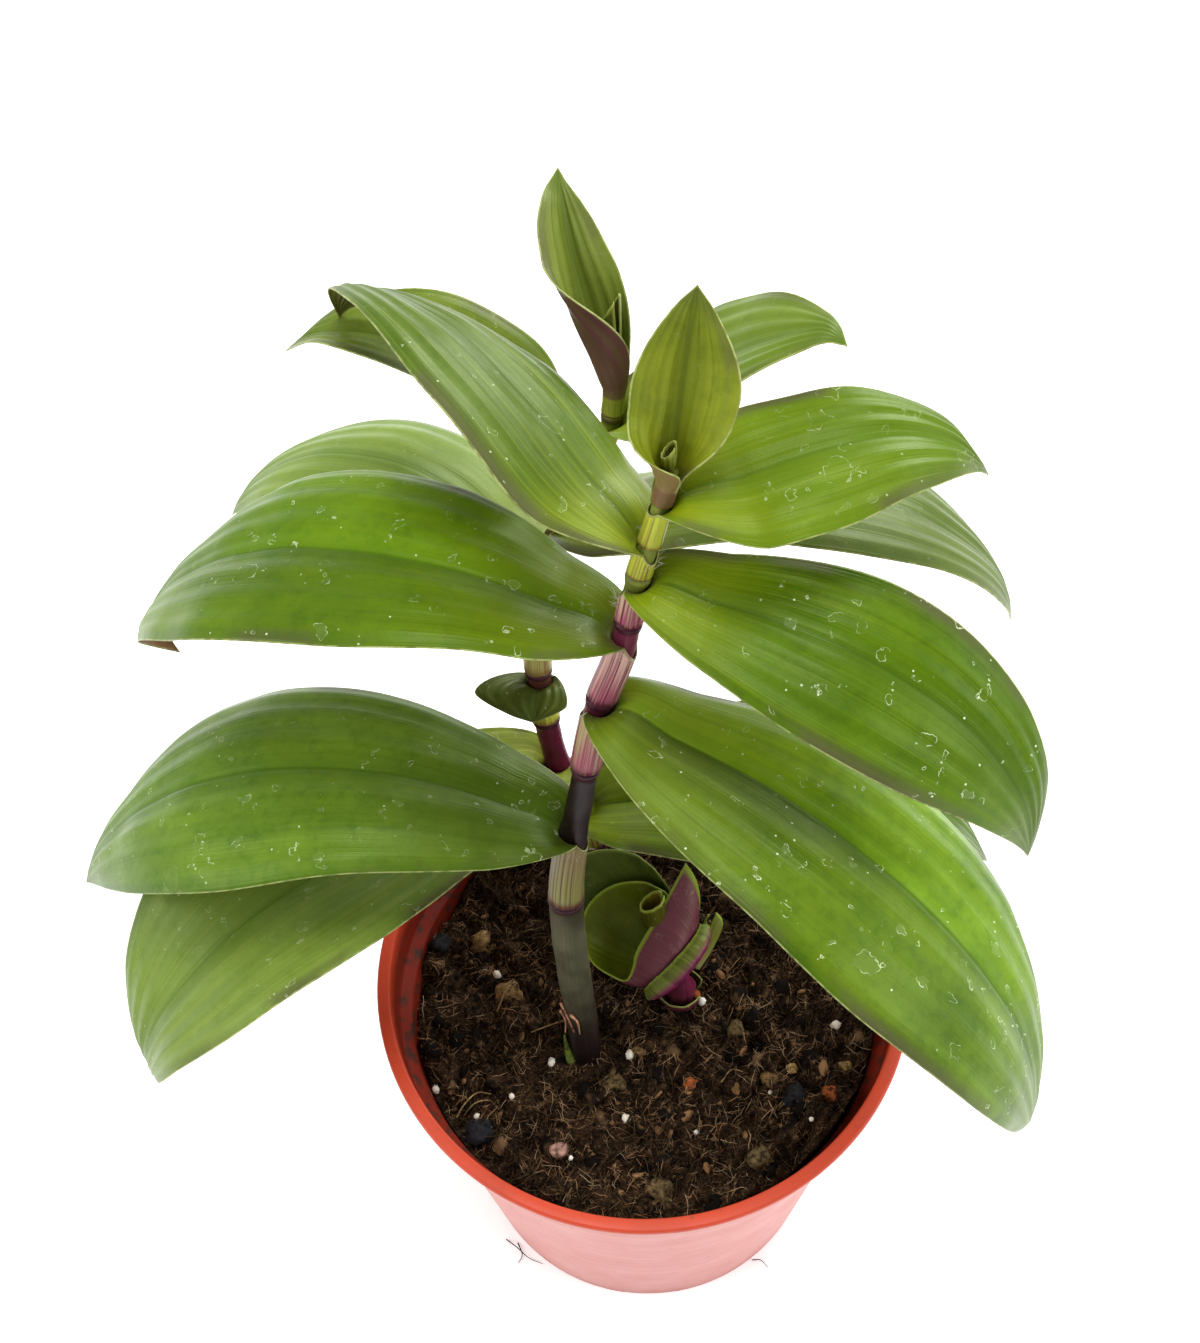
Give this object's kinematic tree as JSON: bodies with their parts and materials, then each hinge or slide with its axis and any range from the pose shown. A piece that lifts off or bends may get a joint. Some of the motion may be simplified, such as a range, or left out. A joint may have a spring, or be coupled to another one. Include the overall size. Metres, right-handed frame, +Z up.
{
  "type": "potted tradescantia",
  "caption": "Trailing foliage houseplant with broad pointed leaves sheathing upright purple stems, in a round plastic nursery pot filled with soil.",
  "frame": {"origin": "middle of the pot's floor, on the surface that the pot stands on", "axes": "+Z up; -Y towards the viewer; +X to the viewer's right"},
  "size_m": [0.201, 0.1399, 0.2778],
  "materials": {
    "pot_plastic": "smooth terracotta red",
    "soil": "damp crumbly potting mix",
    "stem": "waxy dark purple",
    "leaf": "waxy green, purple-brown below",
    "young_leaf": "waxy young green",
    "rolled_leaf": "waxy olive green, purple outside"
  },
  "bodies": {
    "root": {"pot": "pot_plastic", "soil": "soil", "main_stem": "stem", "back_stem": "stem", "shoot_stem": "stem", "main_leaf_low_left": "leaf", "main_leaf_low_right": "leaf", "main_leaf_middle_left": "leaf", "main_leaf_middle_right": "leaf", "main_leaf_high_left": "leaf", "main_leaf_high_right": "leaf", "main_leaf_tip": "young_leaf", "back_leaf_low_right": "leaf", "back_leaf_low_left": "leaf", "back_leaf_stub": "leaf", "back_leaf_middle_left": "leaf", "back_leaf_middle_right": "leaf", "back_leaf_high_left": "leaf", "back_leaf_high_right": "leaf", "back_leaf_tip": "young_leaf", "shoot_leaf_inner": "rolled_leaf", "shoot_leaf_back": "rolled_leaf", "shoot_leaf_under": "rolled_leaf", "shoot_leaf_core": "rolled_leaf", "shoot_leaf_side": "rolled_leaf", "shoot_bract": "rolled_leaf", "main_leaf_roll": "rolled_leaf", "back_leaf_roll": "rolled_leaf"}
  },
  "joints": []
}
